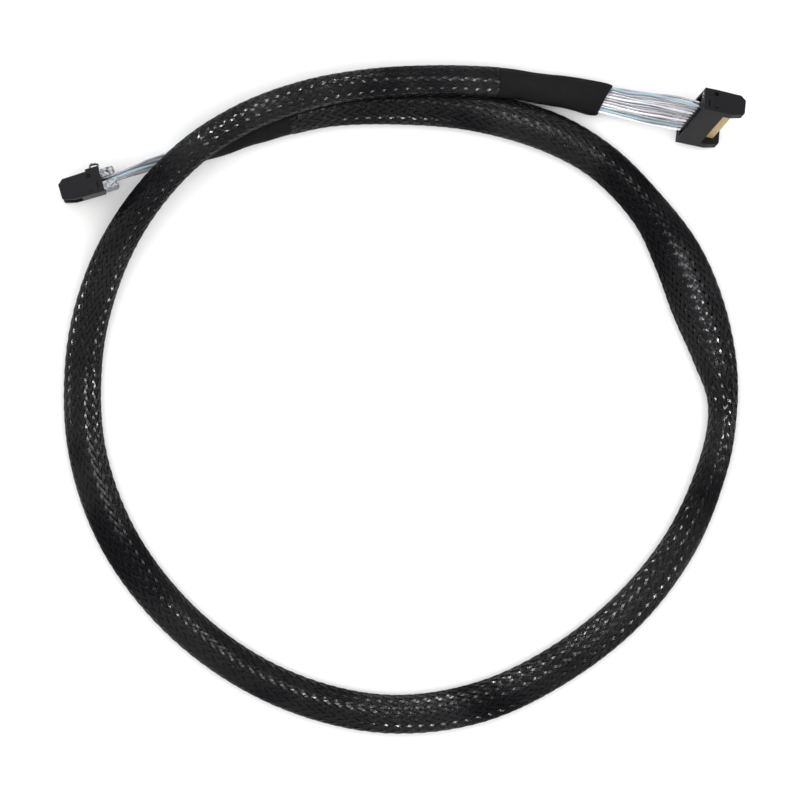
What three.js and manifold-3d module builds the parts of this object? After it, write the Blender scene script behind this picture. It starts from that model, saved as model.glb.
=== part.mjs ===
// Server data cable: two edge-card plugs joined by twin-axial pairs and sideband wires,
// which run through a black braided sleeve that lies in one loop with its ends side by side.
// Millimetres, +Z up. The cable lies on the plane z = 0, with the origin under its middle.

import * as THREE from 'three';
import { mergeVertices } from 'three/addons/utils/BufferGeometryUtils.js';
import Module from 'manifold-3d';

const wasm = await Module();
wasm.setup();

// Plug housing, in the plug's own axes: x towards the mate, y across the thickness, z along the width
const PLUG_WIDTH = 33.4;
const PLUG_THICKNESS = 8.7;
const PLUG_LENGTH = 15.8;
const BODY_LENGTH = 8.7;
const EAR_WIDTH = 3.5;
const NOSE_TOP_CHAMFER = 1.9;
const NOSE_LOW_CHAMFER = 4.6;
const NOSE_LOW_DROP = 1.0;
const LATCH_SEAT_LENGTH = 4.8;
const LATCH_SEAT_RISE = 0.8;
const CAVITY_WALL = 1.0;
const CAVITY_SIDE_WALL = 0.6;
const KEY_HOLE_SIZE = 1.5;
const KEY_HOLE_DEPTH = 1.3;
const KEY_HOLE_BACK = 3.6;
const KEY_HOLE_DOWN = 1.1;
const GATE_SLOT_LENGTH = 2.6;
const GATE_SLOT_WIDTH = 0.5;
const GATE_SLOT_DEPTH = 0.7;
const GATE_SLOT_BACK = 1.7;
const GATE_SLOT_UP = 1.4;
const DIMPLE_LENGTH = 1.5;
const DIMPLE_WIDTH = 0.8;
const DIMPLE_DEPTH = 0.4;
const DIMPLE_BACK = 4.9;
const DIMPLE_UP = 1.4;
const POCKET_DEPTH = 1.8;

// Paddle card and its contact pads
const CARD_THICKNESS = 1.0;
const CARD_UP = 3.1;
const CARD_REACH = 12.8;
const CARD_EDGE_BEVEL = 0.3;
const PADS_PER_SIDE = 37;
const PAD_PITCH = 0.6;
const PAD_WIDTH = 0.36;
const PAD_RISE = 0.06;

// Wire comb, the moulded block that holds the wires behind the card
const COMB_RECESS = 1.2;
const COMB_FRONT_SETBACK = 0.4;
const CARD_SLOT_DEPTH = 5.6;

// Pressed metal of the latched plug
const SHEET = 0.35;
const LATCH_BLADE_WIDTH = 14;
const LATCH_HUMP_RISE = 1.9;
const LATCH_HUMP_LENGTH = 3.4;
const BRACKET_REACH = 5.5;
const BRACKET_HEIGHT = 3.0;
const BRACKET_HOLE = 0.8;
const BRACKET_SEAT = 1.3;
const CLIP_REACH = 1.4;

// Wires: two layers, each of eight pairs and two sideband wires
const WIRES_PER_LAYER = 10;
const WIRE_DIAMETER = 1.0;
const WIRE_UP = 4.1;
const PLUG_WIRE_PITCH = 2.3;
const RIBBON_PITCH = 1.03;
const BUNDLE_PITCH = 1.2;
const LAYER_SPACING = 1.5;
const SIDEBAND_PLACES = [[1, 9], [5, 6]];

// Sleeve and heat-shrink
const SLEEVE_WALL = 0.5;
const SHRINK_WALL = 0.6;
const SHELL_SQUARENESS = 2.3;
const SHELL_SIDES = 12;
const WIRE_SIDES = 6;

// Clearances
const SEAT_GAP = 0.15;
const END_GAP = 0.3;

// Where the cable lies, measured from the centre of the loop: the middle of its box, and the
// middle of each plug's wire entry
const BOX_MIDDLE = [-1.05, 0.905];
const LEFT_ENTRY = [-111.7, 81.4, PLUG_WIDTH / 2];
const LEFT_HEADING = 196.3;
const RIGHT_ENTRY = [106.1, 106.3, 19.4];
const RIGHT_HEADING = -11;
const RIGHT_DIP = 10.2;
const RIGHT_LEAN = -20.8;

// Route from the left plug to the right one. The stations in the loop are given by their angle
// from +X, radius, height of the centre line, and the width and height of the sleeve there.
const LEFT_SHRINK = [
  [131.0, 123.4, 5.0, 8.6, 9.6],
  [126.5, 119.4, 4.9, 10.4, 9.6],
  [119.0, 116.0, 4.8, 11.4, 9.6],
  [112.3, 114.0, 4.8, 12.0, 9.6],
];
const LOOP = [
  [103, 112.9, 4.4, 14.0, 8.8],
  [90, 110.7, 4.4, 14.2, 8.8],
  [76, 111.7, 4.4, 14.3, 8.8],
  [62, 114.6, 4.4, 14.8, 8.8],
  [50, 116.5, 4.4, 13.9, 8.8],
  [38, 116.6, 4.3, 14.4, 8.6],
  [28, 116.3, 4.1, 18.2, 8.2],
  [18, 116.0, 4.1, 19.3, 8.2],
  [8, 117.8, 4.3, 15.6, 8.6],
  [-1, 119.6, 5.2, 10.6, 10.4],
  [-12, 118.3, 5.2, 11.0, 10.4],
  [-27, 116.4, 4.8, 12.6, 9.6],
  [-43, 114.6, 4.4, 14.1, 8.8],
  [-60, 114.1, 4.4, 14.2, 8.8],
  [-76, 115.7, 4.4, 14.6, 8.8],
  [-92, 116.5, 4.4, 14.0, 8.8],
  [-108, 115.9, 4.4, 13.7, 8.8],
  [-124, 115.7, 4.4, 13.8, 8.8],
  [-140, 116.3, 4.4, 14.1, 8.8],
  [-156, 117.8, 4.4, 14.1, 8.8],
  [-172, 119.1, 4.4, 13.5, 8.8],
  [-188, 119.9, 4.5, 13.3, 9.0],
  [-202, 120.8, 7.6, 13.0, 9.2],
  [-215, 121.4, 13.2, 12.0, 9.4],
  [-228, 121.6, 16.4, 11.2, 9.6],
  [-240, 120.8, 15.0, 10.9, 9.6],
  [-252, 119.5, 12.8, 10.9, 9.6],
  [-264, 118.9, 11.4, 10.9, 9.6],
  [-276, 120.4, 9.6, 10.9, 9.6],
];
const RIGHT_SHRINK = [
  [-286.5, 124.2, 7.2, 11.2, 9.8],
  [-292.0, 126.7, 5.8, 11.4, 9.6],
  [-298.0, 130.8, 5.0, 11.9, 9.2],
  [-303.8, 135.6, 4.8, 12.4, 8.8],
];
const SLEEVE_STEPS_IN_SHRINK = 1;
const FLATTENING = [0, 0, 0.4, 1];
const SLEEVE_IN_SHRINK_TRIM = 2 * (SHRINK_WALL + SEAT_GAP);

const radians = THREE.MathUtils.degToRad;

// Materials
function material(colour, roughness, metalness) {
  return new THREE.MeshStandardMaterial({ color: colour, roughness, metalness });
}
const blackPlastic = material(0x1b1c1e, 0.5, 0.0);
const combPlastic = material(0x26272a, 0.6, 0.0);
const cardGold = material(0xc9a35a, 0.35, 0.8);
const springSteel = material(0xc4c6ca, 0.3, 0.9);
const pairFoil = material(0xc3c5cb, 0.35, 0.4);
const sidebandBlue = material(0x8fc6dc, 0.4, 0.0);
const shrinkBlack = material(0x161617, 0.7, 0.0);
const braidBlack = material(0x19191b, 0.35, 0.0);

// Solids
function solidOf(geometry) {
  const plain = geometry.clone();
  plain.deleteAttribute('normal');
  plain.deleteAttribute('uv');
  const merged = mergeVertices(plain, 1e-5);
  return new wasm.Manifold(new wasm.Mesh({
    numProp: 3,
    vertProperties: new Float32Array(merged.attributes.position.array),
    triVerts: new Uint32Array(merged.index.array),
  }));
}

function geometryOf(solid) {
  const mesh = solid.getMesh();
  const geometry = new THREE.BufferGeometry();
  geometry.setAttribute('position', new THREE.BufferAttribute(new Float32Array(mesh.vertProperties), 3));
  geometry.setIndex(new THREE.BufferAttribute(new Uint32Array(mesh.triVerts), 1));
  geometry.computeVertexNormals();
  return geometry;
}

function block(low, high) {
  const size = high.map((value, axis) => value - low[axis]);
  const middle = high.map((value, axis) => (value + low[axis]) / 2);
  return solidOf(new THREE.BoxGeometry(...size).translate(...middle));
}

function prism(outline, low, high) {
  const shape = new THREE.Shape(outline.map(([x, y]) => new THREE.Vector2(x, y)));
  const geometry = new THREE.ExtrudeGeometry(shape, { depth: high - low, bevelEnabled: false });
  return solidOf(geometry.translate(0, 0, low));
}

function drum(radius, low, high, x, y, sides) {
  const geometry = new THREE.CylinderGeometry(radius, radius, high - low, sides);
  return solidOf(geometry.rotateX(Math.PI / 2).translate(x, y, (low + high) / 2));
}

function cutOnBothEars(solid, makeCutter) {
  const cutter = makeCutter();
  return solid.subtract(cutter).subtract(cutter.mirror([0, 0, 1]));
}

// Side outline of the housing, from its rear face (x = 0) to the nose
function housingOutline(hasLatch) {
  const rise = hasLatch ? LATCH_SEAT_RISE : 0;
  return [
    [0, 0],
    [PLUG_LENGTH - NOSE_LOW_CHAMFER, 0],
    [PLUG_LENGTH - 0.4, NOSE_LOW_DROP],
    [PLUG_LENGTH, NOSE_LOW_DROP + 0.7],
    [PLUG_LENGTH, PLUG_THICKNESS - NOSE_TOP_CHAMFER],
    [PLUG_LENGTH - NOSE_TOP_CHAMFER, PLUG_THICKNESS - 0.3],
    [LATCH_SEAT_LENGTH + 0.2, PLUG_THICKNESS],
    [LATCH_SEAT_LENGTH, PLUG_THICKNESS + rise],
    [0, PLUG_THICKNESS + rise],
  ];
}

const EAR_FACE = PLUG_WIDTH / 2;
const MOUTH_HALF = PLUG_WIDTH / 2 - EAR_WIDTH;
const CAVITY_HALF = MOUTH_HALF - CAVITY_SIDE_WALL;
const CAVITY_TOP = PLUG_THICKNESS - CAVITY_WALL;
const TAB_PLACE = EAR_FACE - EAR_WIDTH / 2;

function pocketCutter(low, high) {
  const half = SHEET / 2 + SEAT_GAP;
  return block(
    [-1, low - SEAT_GAP, TAB_PLACE - half],
    [POCKET_DEPTH, high + SEAT_GAP, TAB_PLACE + half],
  );
}

function housing(hasLatch) {
  let solid = prism(housingOutline(hasLatch), -EAR_FACE, EAR_FACE);
  solid = solid.subtract(block([BODY_LENGTH, -1, -MOUTH_HALF], [PLUG_LENGTH + 1, PLUG_THICKNESS + 3, MOUTH_HALF]));
  solid = solid.subtract(block([-1, CAVITY_WALL, -CAVITY_HALF], [BODY_LENGTH + 1, CAVITY_TOP, CAVITY_HALF]));
  const holeTop = PLUG_THICKNESS - KEY_HOLE_DOWN;
  solid = cutOnBothEars(solid, () => block(
    [KEY_HOLE_BACK, holeTop - KEY_HOLE_SIZE, EAR_FACE - KEY_HOLE_DEPTH],
    [KEY_HOLE_BACK + KEY_HOLE_SIZE, holeTop, EAR_FACE + 1],
  ));
  solid = cutOnBothEars(solid, () => block(
    [GATE_SLOT_BACK, GATE_SLOT_UP, EAR_FACE - GATE_SLOT_DEPTH],
    [GATE_SLOT_BACK + GATE_SLOT_WIDTH, GATE_SLOT_UP + GATE_SLOT_LENGTH, EAR_FACE + 1],
  ));
  solid = cutOnBothEars(solid, () => block(
    [DIMPLE_BACK - DIMPLE_LENGTH / 2, DIMPLE_UP - DIMPLE_WIDTH / 2, EAR_FACE - DIMPLE_DEPTH],
    [DIMPLE_BACK + DIMPLE_LENGTH / 2, DIMPLE_UP + DIMPLE_WIDTH / 2, EAR_FACE + 1],
  ));
  solid = cutOnBothEars(solid, () => pocketCutter(upperTab().low, upperTab().high));
  return cutOnBothEars(solid, () => pocketCutter(lowerTab().low, lowerTab().high));
}

function upperTab() {
  const high = PLUG_THICKNESS - CAVITY_WALL / 2;
  return { low: high - BRACKET_HEIGHT, high };
}

function lowerTab() {
  const low = CAVITY_WALL / 2;
  return { low, high: low + BRACKET_HEIGHT };
}

// The card's section across the width carries the pads of both faces, and its mating edge is bevelled
function paddleCard() {
  const half = CAVITY_HALF - SEAT_GAP;
  const low = CARD_UP - CARD_THICKNESS / 2;
  const high = CARD_UP + CARD_THICKNESS / 2;
  const rear = COMB_RECESS + CARD_SLOT_REAR + END_GAP;
  const bevelled = prism([
    [rear, low],
    [CARD_REACH - CARD_EDGE_BEVEL, low],
    [CARD_REACH, low + CARD_EDGE_BEVEL],
    [CARD_REACH, high - CARD_EDGE_BEVEL],
    [CARD_REACH - CARD_EDGE_BEVEL, high],
    [rear, high],
  ], -half, half);
  const padStart = BODY_LENGTH + PAD_PITCH / 2;
  const padEnd = CARD_REACH - CARD_EDGE_BEVEL - PAD_WIDTH;
  let card = bevelled;
  for (let pad = 0; pad < PADS_PER_SIDE; pad += 1) {
    const middle = (pad - (PADS_PER_SIDE - 1) / 2) * PAD_PITCH;
    card = card.add(block(
      [padStart, low - PAD_RISE, middle - PAD_WIDTH / 2],
      [padEnd, high + PAD_RISE, middle + PAD_WIDTH / 2],
    ));
  }
  return card;
}
const CARD_SLOT_REAR = BODY_LENGTH - COMB_FRONT_SETBACK - COMB_RECESS - CARD_SLOT_DEPTH;

function wireComb() {
  const half = CAVITY_HALF - SEAT_GAP;
  const front = BODY_LENGTH - COMB_FRONT_SETBACK;
  const body = block(
    [COMB_RECESS, CAVITY_WALL + SEAT_GAP, -half],
    [front, CAVITY_TOP - SEAT_GAP, half],
  );
  const slotHalf = CARD_THICKNESS / 2 + SEAT_GAP;
  return body.subtract(block(
    [front - CARD_SLOT_DEPTH, CARD_UP - slotHalf, -half - 1],
    [front + 1, CARD_UP + slotHalf, half + 1],
  ));
}

// The latch is one pressed blade: it lies on the seat, and its rear end is rolled up into the thumb hump
function latchSpring() {
  const seat = PLUG_THICKNESS + LATCH_SEAT_RISE + SEAT_GAP;
  const top = seat + LATCH_HUMP_RISE;
  const hump = LATCH_HUMP_LENGTH;
  const outline = [
    [-0.2, seat],
    [LATCH_SEAT_LENGTH, seat],
    [LATCH_SEAT_LENGTH + 0.3, seat + SHEET],
    [hump, seat + SHEET],
    [hump - 0.3, top - 0.5],
    [hump - 1.1, top],
    [0.5, top - 0.2],
    [-0.5, top - 0.9],
    [-0.5 + SHEET, top - 1.1],
    [0.6, top - 0.2 - SHEET],
    [hump - 1.2, top - SHEET],
    [hump - 0.3 - SHEET, top - 0.7],
    [hump - SHEET, seat + SHEET],
    [-0.2, seat + SHEET],
  ];
  return prism(outline, -LATCH_BLADE_WIDTH / 2, LATCH_BLADE_WIDTH / 2);
}

// A bracket is one folded plate: a web behind the housing and a tab at each end, seated in its pocket
function bracket(tab, webAtTop, hasHole) {
  const { low, high } = tab;
  const nose = 0.7;
  const outline = [
    [BRACKET_SEAT, low],
    [BRACKET_SEAT, high],
    [-BRACKET_REACH + nose, high],
    [-BRACKET_REACH, high - nose],
    [-BRACKET_REACH, low + nose],
    [-BRACKET_REACH + nose, low],
  ];
  let side = prism(outline, TAB_PLACE - SHEET / 2, TAB_PLACE + SHEET / 2);
  if (hasHole) {
    const middle = (low + high) / 2;
    side = side.subtract(drum(BRACKET_HOLE / 2, TAB_PLACE - 1, TAB_PLACE + 1, -BRACKET_REACH / 2, middle, 12));
  }
  const webLow = webAtTop ? high - SHEET : low;
  const web = block([-BRACKET_REACH + nose, webLow, -TAB_PLACE], [-END_GAP, webLow + SHEET, TAB_PLACE]);
  return side.add(side.mirror([0, 0, 1])).add(web);
}

// The plug with no latch keeps a short clip in each rear pocket
function earClip(tab, side) {
  const middle = side * TAB_PLACE;
  return block([POCKET_DEPTH - SEAT_GAP - CLIP_REACH - 0.6, tab.low, middle - SHEET / 2],
    [POCKET_DEPTH - SEAT_GAP, tab.high, middle + SHEET / 2]);
}

// Placing
function named(name, geometry, finish) {
  const mesh = new THREE.Mesh(geometry, finish.clone());
  mesh.name = name;
  return mesh;
}

function plugGroup(entry, heading, dip, roll) {
  const group = new THREE.Group();
  group.rotation.set(radians(roll), radians(dip), radians(heading), 'ZYX');
  const wireMiddle = new THREE.Vector3(0, WIRE_UP, 0).applyEuler(group.rotation);
  group.position.set(...entry).sub(wireMiddle);
  group.updateMatrixWorld(true);
  return group;
}

const leftPlug = plugGroup(LEFT_ENTRY, LEFT_HEADING, 0, 180);
leftPlug.add(named('left_housing', geometryOf(housing(true)), blackPlastic));
leftPlug.add(named('left_paddle_card', geometryOf(paddleCard()), cardGold));
leftPlug.add(named('left_wire_comb', geometryOf(wireComb()), combPlastic));
leftPlug.add(named('left_latch_spring', geometryOf(latchSpring()), springSteel));
leftPlug.add(named('left_upper_bracket', geometryOf(bracket(upperTab(), true, true)), springSteel));
leftPlug.add(named('left_lower_bracket', geometryOf(bracket(lowerTab(), false, false)), springSteel));

const rightPlug = plugGroup(RIGHT_ENTRY, RIGHT_HEADING, RIGHT_DIP, RIGHT_LEAN);
rightPlug.add(named('right_housing', geometryOf(housing(false)), blackPlastic));
rightPlug.add(named('right_paddle_card', geometryOf(paddleCard()), cardGold));
rightPlug.add(named('right_wire_comb', geometryOf(wireComb()), combPlastic));
rightPlug.add(named('right_near_clip', geometryOf(earClip(upperTab(), 1)), springSteel));
rightPlug.add(named('right_far_clip', geometryOf(earClip(upperTab(), -1)), springSteel));

// Stations along the route. spread is 1 where the wires stand at the plug's pitch and 0 where they
// are bundled; flat is 1 where they lie in their two layers and 0 where they are bundled.
function loopPoint([angle, radius, height]) {
  return new THREE.Vector3(
    radius * Math.cos(radians(angle)),
    radius * Math.sin(radians(angle)),
    height,
  );
}

// A point of a fan of wires, share of the way from the plug's wire entry to the heat-shrink
function fanPoint(group, share, dropShare, shrinkEnd) {
  const start = group.localToWorld(new THREE.Vector3(wireEnd, WIRE_UP, 0));
  const point = start.clone().lerp(shrinkEnd, share);
  point.z = THREE.MathUtils.lerp(start.z, shrinkEnd.z, dropShare);
  return point;
}

const wireEnd = COMB_RECESS - END_GAP;
const leftStart = loopPoint(LEFT_SHRINK[0]);
const rightStart = loopPoint(RIGHT_SHRINK[RIGHT_SHRINK.length - 1]);
const stations = [
  { at: fanPoint(leftPlug, 0, 0, leftStart), pitch: PLUG_WIRE_PITCH, flat: 1 },
  { at: fanPoint(leftPlug, 0.13, 0.03, leftStart), pitch: PLUG_WIRE_PITCH * 0.95, flat: 1 },
  { at: fanPoint(leftPlug, 0.4, 0.42, leftStart), pitch: PLUG_WIRE_PITCH * 0.62, flat: 0.9 },
  { at: fanPoint(leftPlug, 0.68, 0.88, leftStart), pitch: RIBBON_PITCH, flat: 0.12 },
  ...LEFT_SHRINK.map((row) => ({ at: loopPoint(row), row, pitch: RIBBON_PITCH, flat: 0 })),
  ...LOOP.map((row) => ({ at: loopPoint(row), row, pitch: RIBBON_PITCH, flat: 0 })),
  ...RIGHT_SHRINK.map((row, step) => ({ at: loopPoint(row), row, pitch: RIBBON_PITCH, flat: FLATTENING[step] })),
  { at: fanPoint(rightPlug, 0.7, 0.8, rightStart), pitch: RIBBON_PITCH * 1.1, flat: 1 },
  { at: fanPoint(rightPlug, 0.35, 0.35, rightStart), pitch: RIBBON_PITCH * 1.5, flat: 1 },
  { at: fanPoint(rightPlug, 0, 0, rightStart), pitch: PLUG_WIRE_PITCH, flat: 1 },
];
const route = new THREE.CatmullRomCurve3(stations.map((station) => station.at), false, 'centripetal');
const leftAxis = new THREE.Vector3(-1, 0, 0).applyEuler(leftPlug.rotation);
const rightAxis = new THREE.Vector3(1, 0, 0).applyEuler(rightPlug.rotation);
const rightRoll = 90 + RIGHT_LEAN;
const firstLoop = 4;
const lastShrink = stations.length - 4;

stations.forEach((station, index) => {
  let along = route.getTangent(index / (stations.length - 1));
  if (index < 2) along = leftAxis;
  if (index === stations.length - 1) along = rightAxis;
  const left = new THREE.Vector3(0, 0, 1).cross(along).normalize();
  const up = new THREE.Vector3().crossVectors(along, left);
  let roll = 90;
  if (index > firstLoop) roll = 90 * (1 - (index - firstLoop) / (lastShrink - firstLoop));
  if (index > lastShrink) roll = rightRoll * (index - lastShrink) / 3;
  Object.assign(station, { left, up, roll: radians(roll) });
});

// Bends a straight extrusion of a section along the stations from first to last
function swept(shape, first, last, place) {
  const steps = last - first;
  const geometry = new THREE.ExtrudeGeometry(shape, { depth: steps, steps, bevelEnabled: false });
  const position = geometry.attributes.position;
  for (let vertex = 0; vertex < position.count; vertex += 1) {
    const index = first + Math.round(position.getZ(vertex));
    const station = stations[index];
    const [x, y] = place(position.getX(vertex), position.getY(vertex), station, index);
    const point = station.at.clone().addScaledVector(station.left, x).addScaledVector(station.up, y);
    position.setXYZ(vertex, point.x, point.y, point.z);
  }
  return geometryOf(solidOf(geometry));
}

function ringPoints(sides, squareness) {
  const points = [];
  for (let side = 0; side < sides; side += 1) {
    const angle = (side + 0.5) / sides * Math.PI * 2;
    const [c, s] = [Math.cos(angle), Math.sin(angle)];
    const power = 2 / squareness;
    points.push(new THREE.Vector2(
      Math.sign(c) * Math.abs(c) ** power,
      Math.sign(s) * Math.abs(s) ** power,
    ));
  }
  return points;
}

// A shell's section is drawn with its outer ring at size 1 and its inner ring at size 1/2
const INNER_MARK = 0.5;
function shell(first, last, wall, sizeAt) {
  const ring = ringPoints(SHELL_SIDES, SHELL_SQUARENESS);
  const shape = new THREE.Shape(ring);
  const inner = ring.map((point) => point.clone().multiplyScalar(INNER_MARK)).reverse();
  shape.holes.push(new THREE.Path(inner));
  return swept(shape, first, last, (x, y, station, index) => {
    const isInner = Math.hypot(x, y) < 0.75;
    const [width, height] = sizeAt(station, index);
    const halfWidth = width / 2 - (isInner ? wall : 0);
    const halfHeight = height / 2 - (isInner ? wall : 0);
    const scale = isInner ? 1 / INNER_MARK : 1;
    return [x * scale * halfWidth, y * scale * halfHeight];
  });
}

const leftShrinkFirst = 4;
const leftShrinkLast = leftShrinkFirst + LEFT_SHRINK.length - 1;
const rightShrinkLast = stations.length - 4;
const rightShrinkFirst = rightShrinkLast - RIGHT_SHRINK.length + 1;
const sleeveFirst = leftShrinkLast - SLEEVE_STEPS_IN_SHRINK;
const sleeveLast = rightShrinkFirst + SLEEVE_STEPS_IN_SHRINK;

function fullSize(station) {
  return [station.row[3], station.row[4]];
}

function sleeveSize(station, index) {
  const inShrink = index <= leftShrinkLast || index >= rightShrinkFirst;
  return fullSize(station).map((size) => size - (inShrink ? SLEEVE_IN_SHRINK_TRIM : 0));
}

// A wire's offset from the route: k counts along the ribbon, layer is 0 or 1
function wireOffset(k, layer, station) {
  const { pitch, flat, roll } = station;
  const across = (k - (WIRES_PER_LAYER - 1) / 2) * pitch;
  const ribbonLayer = (layer - 0.5) * LAYER_SPACING;
  const row = Math.floor(k / 2);
  const column = layer * 2 + (k % 2);
  const spreadShare = flat ** 0.6;
  const layerShare = flat ** 1.6;
  const alongK = THREE.MathUtils.lerp((row - 2) * BUNDLE_PITCH, across, spreadShare);
  const alongLayer = THREE.MathUtils.lerp((column - 1.5) * BUNDLE_PITCH, ribbonLayer, layerShare);
  return [
    alongK * Math.cos(roll) + alongLayer * Math.sin(roll),
    alongK * Math.sin(roll) - alongLayer * Math.cos(roll),
  ];
}

function wire(k, layer) {
  const radius = WIRE_DIAMETER / 2;
  const shape = new THREE.Shape(ringPoints(WIRE_SIDES, 2));
  return swept(shape, 0, stations.length - 1, (x, y, station) => {
    const [left, up] = wireOffset(k, layer, station);
    return [left + x * radius, up + y * radius];
  });
}

const cable = new THREE.Group();
cable.add(leftPlug, rightPlug);
cable.add(named('braided_sleeve', shell(sleeveFirst, sleeveLast, SLEEVE_WALL, sleeveSize), braidBlack));
cable.add(named('left_heat_shrink', shell(leftShrinkFirst, leftShrinkLast, SHRINK_WALL, fullSize), shrinkBlack));
cable.add(named('right_heat_shrink', shell(rightShrinkFirst, rightShrinkLast, SHRINK_WALL, fullSize), shrinkBlack));

let pairCount = 0;
let sidebandCount = 0;
for (let layer = 0; layer < SIDEBAND_PLACES.length; layer += 1) {
  for (let k = 0; k < WIRES_PER_LAYER; k += 1) {
    const isSideband = SIDEBAND_PLACES[layer].includes(k);
    if (isSideband) sidebandCount += 1;
    else pairCount += 1;
    const number = String(isSideband ? sidebandCount : pairCount).padStart(2, '0');
    const name = isSideband ? `sideband_wire_${number}` : `twinax_pair_${number}`;
    cable.add(named(name, wire(k, layer), isSideband ? sidebandBlue : pairFoil));
  }
}
cable.position.set(-BOX_MIDDLE[0], -BOX_MIDDLE[1], 0);
cable.updateMatrixWorld(true);

export default cable;
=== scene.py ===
"""Looks of a braided server data cable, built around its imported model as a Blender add-on.

The cable lies in one loop on a pale floor, seen from straight above. Lengths are in metres."""

import math

import bmesh
import bpy
import numpy as np
from bpy.props import FloatProperty, FloatVectorProperty, IntProperty, PointerProperty
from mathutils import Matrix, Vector


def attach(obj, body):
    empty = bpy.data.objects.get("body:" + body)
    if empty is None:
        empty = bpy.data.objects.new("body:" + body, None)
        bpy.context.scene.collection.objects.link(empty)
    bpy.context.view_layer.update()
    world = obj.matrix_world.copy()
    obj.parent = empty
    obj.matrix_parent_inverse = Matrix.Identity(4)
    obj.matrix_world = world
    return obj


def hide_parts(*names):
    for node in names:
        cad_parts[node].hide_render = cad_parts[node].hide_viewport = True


bl_info = {
    "name": "Braided Data Cable",
    "version": (1, 0, 0),
    "blender": (4, 5, 0),
    "location": "View3D > Sidebar > Cable",
    "description": "Builds the sleeve, wires, heat-shrinks and plugs of a server data cable",
    "category": "Add Mesh",
}

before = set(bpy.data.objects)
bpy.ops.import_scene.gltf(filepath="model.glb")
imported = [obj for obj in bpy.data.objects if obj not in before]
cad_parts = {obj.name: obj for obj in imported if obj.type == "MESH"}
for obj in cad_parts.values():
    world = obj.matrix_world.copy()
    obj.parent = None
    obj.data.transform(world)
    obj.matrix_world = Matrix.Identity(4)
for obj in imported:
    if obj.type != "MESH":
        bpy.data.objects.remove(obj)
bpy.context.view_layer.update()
MM = 0.001
BODY = "root"

# Places that the cable shares with its solids, in millimetres from the centre of the loop
BOX_MIDDLE = (-1.05, 0.905)
LEFT_ENTRY = (-111.7, 81.4, 16.7)
LEFT_HEADING = 196.3
RIGHT_ENTRY = (106.1, 106.3, 19.4)
RIGHT_HEADING = -11.0
RIGHT_DIP = 10.2
RIGHT_LEAN = -20.8
WIRE_END = 0.9
WIRES_PER_LAYER = 10
PLUG_WIRE_PITCH = 2.3
RIBBON_PITCH = 1.03
BUNDLE_PITCH = 1.2
LAYER_SPACING = 1.5
SIDEBAND_PLACES = ((1, 9), (5, 6))

# Stations of the route: angle, radius, height of the centre line, width and height of the sleeve
LEFT_SHRINK = (
    (131.0, 123.4, 5.0, 8.6, 9.6),
    (126.5, 119.4, 4.9, 10.4, 9.6),
    (119.0, 116.0, 4.8, 11.4, 9.6),
    (112.3, 114.0, 4.8, 12.0, 9.6),
)
LOOP = (
    (103, 112.9, 4.4, 14.0, 8.8),
    (90, 110.7, 4.4, 14.2, 8.8),
    (76, 111.7, 4.4, 14.3, 8.8),
    (62, 114.6, 4.4, 14.8, 8.8),
    (50, 116.5, 4.4, 13.9, 8.8),
    (38, 116.6, 4.3, 14.4, 8.6),
    (28, 116.3, 4.1, 18.2, 8.2),
    (18, 116.0, 4.1, 19.3, 8.2),
    (8, 117.8, 4.3, 15.6, 8.6),
    (-1, 119.6, 5.2, 10.6, 10.4),
    (-12, 118.3, 5.2, 11.0, 10.4),
    (-27, 116.4, 4.8, 12.6, 9.6),
    (-43, 114.6, 4.4, 14.1, 8.8),
    (-60, 114.1, 4.4, 14.2, 8.8),
    (-76, 115.7, 4.4, 14.6, 8.8),
    (-92, 116.5, 4.4, 14.0, 8.8),
    (-108, 115.9, 4.4, 13.7, 8.8),
    (-124, 115.7, 4.4, 13.8, 8.8),
    (-140, 116.3, 4.4, 14.1, 8.8),
    (-156, 117.8, 4.4, 14.1, 8.8),
    (-172, 119.1, 4.4, 13.5, 8.8),
    (-188, 119.9, 4.5, 13.3, 9.0),
    (-202, 120.8, 7.6, 13.0, 9.2),
    (-215, 121.4, 13.2, 12.0, 9.4),
    (-228, 121.6, 16.4, 11.2, 9.6),
    (-240, 120.8, 15.0, 10.9, 9.6),
    (-252, 119.5, 12.8, 10.9, 9.6),
    (-264, 118.9, 11.4, 10.9, 9.6),
    (-276, 120.4, 9.6, 10.9, 9.6),
)
RIGHT_SHRINK = (
    (-286.5, 124.2, 7.2, 11.2, 9.8),
    (-292.0, 126.7, 5.8, 11.4, 9.6),
    (-298.0, 130.8, 5.0, 11.9, 9.2),
    (-303.8, 135.6, 4.8, 12.4, 8.8),
)

# How flat the wires lie at the stations of the right heat-shrink, from bundle to two rows
FLATTENING = (0, 0, 0.4, 1)

# Stations of the fans: shares of the way and of the drop, share of the plug's wire pitch, flatness
LEFT_FAN = ((0, 0, 1, 1), (0.13, 0.03, 0.95, 1), (0.4, 0.42, 0.62, 0.9), (0.68, 0.88, 0.45, 0.12))
RIGHT_FAN = ((0.7, 0.8, 0.49, 1), (0.35, 0.35, 0.67, 1), (0, 0, 1, 1))

# Card and pads, in millimetres on a plug's own axes, which start at the base of its rear face
WIRE_ENTRY_HEIGHT = 4.1
CARD_REAR = 3.2
CARD_REACH = 13.3
CARD_LOW = 2.6
CARD_HIGH = 3.6
CARD_HALF_WIDTH = 12.45
CARD_BEVEL = 0.3
PAD_COUNT = 37
PAD_PITCH = 0.6
PAD_WIDTH = 0.36
PAD_REAR = 9.0
PAD_MARGIN = 0.3
PAD_RISE = 0.06

# Clearances of the sleeve from its outline and the heat-shrinks, in millimetres
SHRINK_GAP = 0.15
STRAND_ALLOWANCE = 0.3
FLOOR_ALLOWANCE = 0.5

# Middle of the picture and height of the cable's middle, in millimetres
PICTURE_MIDDLE = (-0.07, -0.16)
CABLE_MIDDLE_HEIGHT = 4.5


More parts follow.
